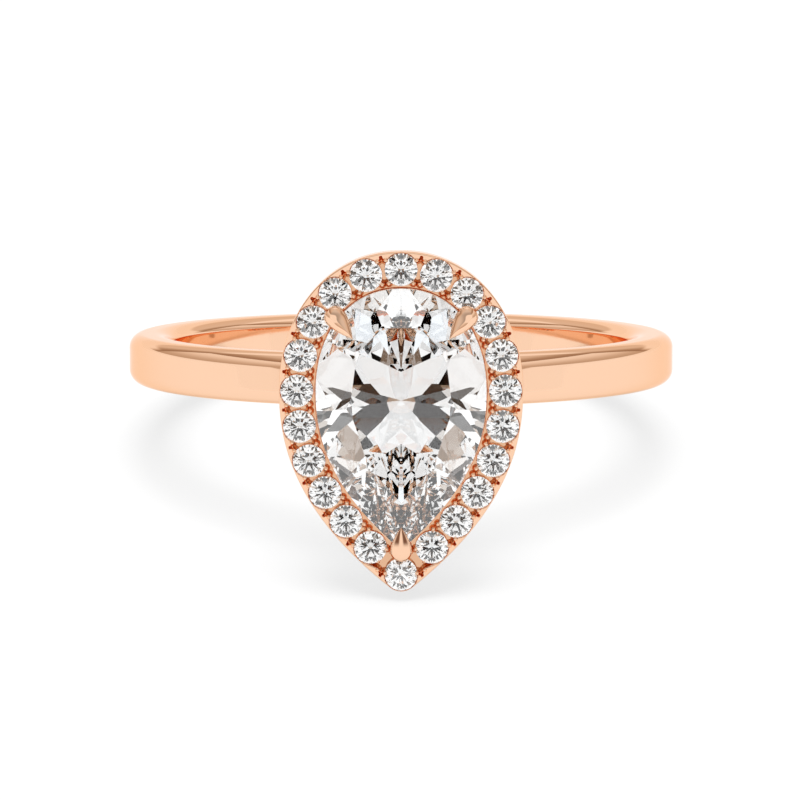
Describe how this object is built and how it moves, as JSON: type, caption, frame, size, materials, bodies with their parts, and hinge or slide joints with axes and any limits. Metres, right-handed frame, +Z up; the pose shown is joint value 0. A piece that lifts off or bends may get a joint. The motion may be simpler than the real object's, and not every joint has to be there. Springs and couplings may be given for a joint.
{
  "type": "engagement ring",
  "caption": "Rose-gold pear halo engagement ring lying on its side: plain band, pear centre stone in three teardrop claws, halo of small round stones",
  "frame": {"origin": "centre of the bounding box at the surface the ring lies on, under the finger hole", "axes": "+Z up from the surface, -Y towards the stone's face, +X to the right seen from the front; the ring leans back about 15 degrees on the halo's tip and the band's back edge"},
  "size_m": [0.02, 0.024, 0.0113],
  "materials": {
    "rose_gold": "high polish 14 carat rose gold",
    "centre_diamond": "polished facets, colourless diamond",
    "halo_diamond": "polished facets, colourless diamond"
  },
  "bodies": {
    "root": {"base_collar": "rose_gold", "centre_stone": "centre_diamond", "claw_tip": "rose_gold", "claw_upper_left": "rose_gold", "claw_upper_right": "rose_gold", "gallery_rail": "rose_gold", "halo_plate": "rose_gold", "halo_stone_01": "halo_diamond", "halo_stone_02": "halo_diamond", "halo_stone_03": "halo_diamond", "halo_stone_04": "halo_diamond", "halo_stone_05": "halo_diamond", "halo_stone_06": "halo_diamond", "halo_stone_07": "halo_diamond", "halo_stone_08": "halo_diamond", "halo_stone_09": "halo_diamond", "halo_stone_10": "halo_diamond", "halo_stone_11": "halo_diamond", "halo_stone_12": "halo_diamond", "halo_stone_13": "halo_diamond", "halo_stone_14": "halo_diamond", "halo_stone_15": "halo_diamond", "halo_stone_16": "halo_diamond", "halo_stone_17": "halo_diamond", "halo_stone_18": "halo_diamond", "halo_stone_19": "halo_diamond", "halo_stone_20": "halo_diamond", "halo_stone_21": "halo_diamond", "halo_stone_22": "halo_diamond", "shank": "rose_gold", "strut_left": "rose_gold", "strut_lower_left": "rose_gold", "strut_lower_right": "rose_gold", "strut_right": "rose_gold", "strut_top": "rose_gold"}
  },
  "joints": []
}
